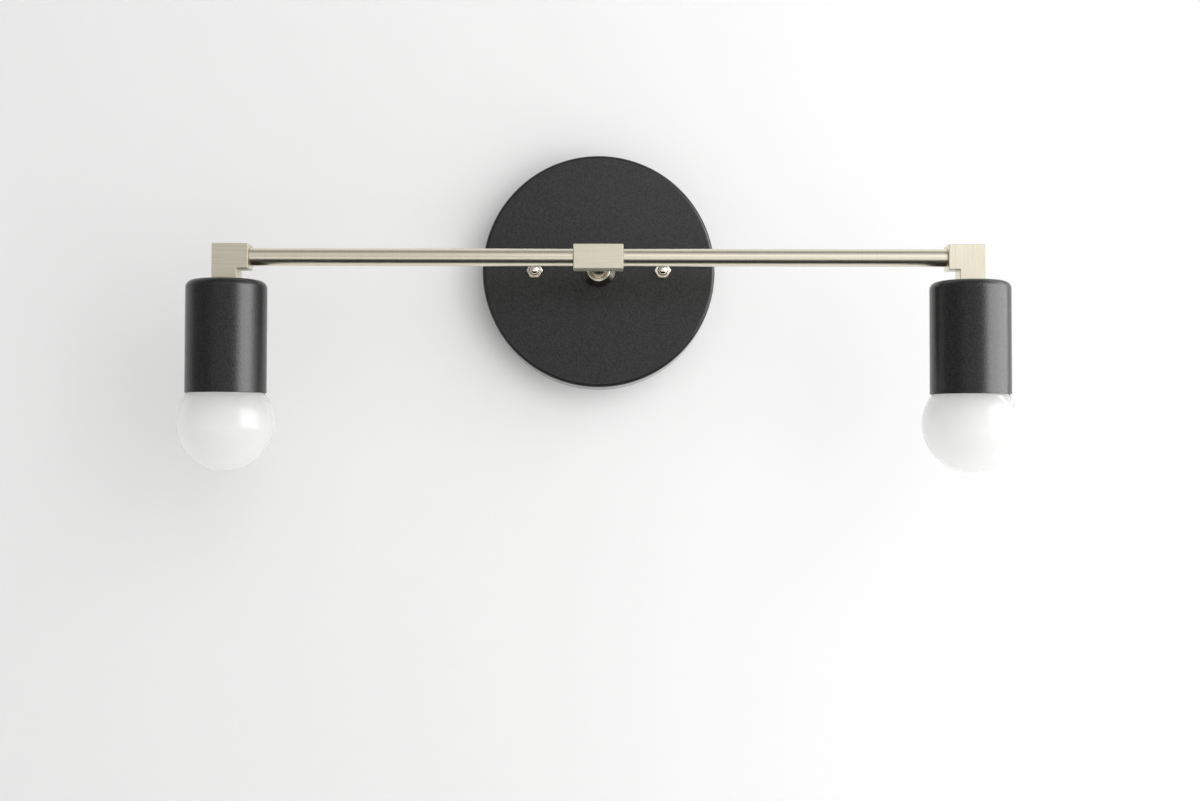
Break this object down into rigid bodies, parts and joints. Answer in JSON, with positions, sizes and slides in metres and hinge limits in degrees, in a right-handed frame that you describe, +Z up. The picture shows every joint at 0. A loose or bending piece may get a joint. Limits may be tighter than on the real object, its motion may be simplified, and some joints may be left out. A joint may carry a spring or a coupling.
{
  "type": "vanity light",
  "caption": "Bar vanity light: round black wall canopy, nickel T-shaped bar on a short stem, square elbows and downward black socket cups holding opal globe lamps.",
  "frame": {"origin": "centre of the canopy on the wall plane, midway between the strap's two box-screw slots", "axes": "+Z up, +X to the right seen from the room, +Y into the wall, so the light stands out along -Y"},
  "size_m": [0.427, 0.1095, 0.1731],
  "materials": {
    "black_powder_coat": "matte",
    "brushed_nickel": "satin",
    "polished_nickel": "polished",
    "zinc_plated_steel": "satin",
    "green_steel": "gloss",
    "porcelain": "gloss",
    "socket_brass": "satin",
    "lamp_cap_aluminium": "satin",
    "lamp_insulator_glass": "gloss",
    "solder": "satin",
    "opal_glass": "gloss",
    "clear_glass": "gloss",
    "filament": "matte",
    "black_insulation": "satin",
    "white_insulation": "satin",
    "connector_plastic": "matte"
  },
  "bodies": {
    "fixture": {"canopy": "black_powder_coat", "mounting_strap": "zinc_plated_steel", "mounting_studs": "zinc_plated_steel", "strap_nuts": "zinc_plated_steel", "cap_nuts": "polished_nickel", "ground_screw": "green_steel", "stem_collar": "polished_nickel", "stem": "brushed_nickel", "stem_washer": "zinc_plated_steel", "stem_nut": "zinc_plated_steel", "tee_block": "brushed_nickel", "wire_connectors": "connector_plastic", "left_arm_tube": "brushed_nickel", "left_elbow": "brushed_nickel", "left_socket_nipple": "zinc_plated_steel", "left_socket_cup": "black_powder_coat", "left_holder_bracket": "zinc_plated_steel", "left_nipple_nut": "zinc_plated_steel", "left_lamp_holder": "porcelain", "left_screw_shell": "socket_brass", "left_holder_screws": "zinc_plated_steel", "left_centre_contact": "socket_brass", "left_live_lead": "black_insulation", "left_neutral_lead": "white_insulation", "right_arm_tube": "brushed_nickel", "right_elbow": "brushed_nickel", "right_socket_nipple": "zinc_plated_steel", "right_socket_cup": "black_powder_coat", "right_holder_bracket": "zinc_plated_steel", "right_nipple_nut": "zinc_plated_steel", "right_lamp_holder": "porcelain", "right_screw_shell": "socket_brass", "right_holder_screws": "zinc_plated_steel", "right_centre_contact": "socket_brass", "right_live_lead": "black_insulation", "right_neutral_lead": "white_insulation"},
    "left_lamp": {"left_lamp_tip": "solder", "left_lamp_insulator": "lamp_insulator_glass", "left_lamp_cap": "lamp_cap_aluminium", "left_lamp_globe": "opal_glass", "left_glass_stem": "clear_glass", "left_filament_cage": "filament"},
    "right_lamp": {"right_lamp_tip": "solder", "right_lamp_insulator": "lamp_insulator_glass", "right_lamp_cap": "lamp_cap_aluminium", "right_lamp_globe": "opal_glass", "right_glass_stem": "clear_glass", "right_filament_cage": "filament"}
  },
  "joints": [
    {"name": "left_lamp_removal", "type": "slide", "parent": "fixture", "child": "left_lamp", "axis": [0, 0, -1], "range_m": [0, 0.06]},
    {"name": "right_lamp_removal", "type": "slide", "parent": "fixture", "child": "right_lamp", "axis": [0, 0, -1], "range_m": [0, 0.06]}
  ]
}
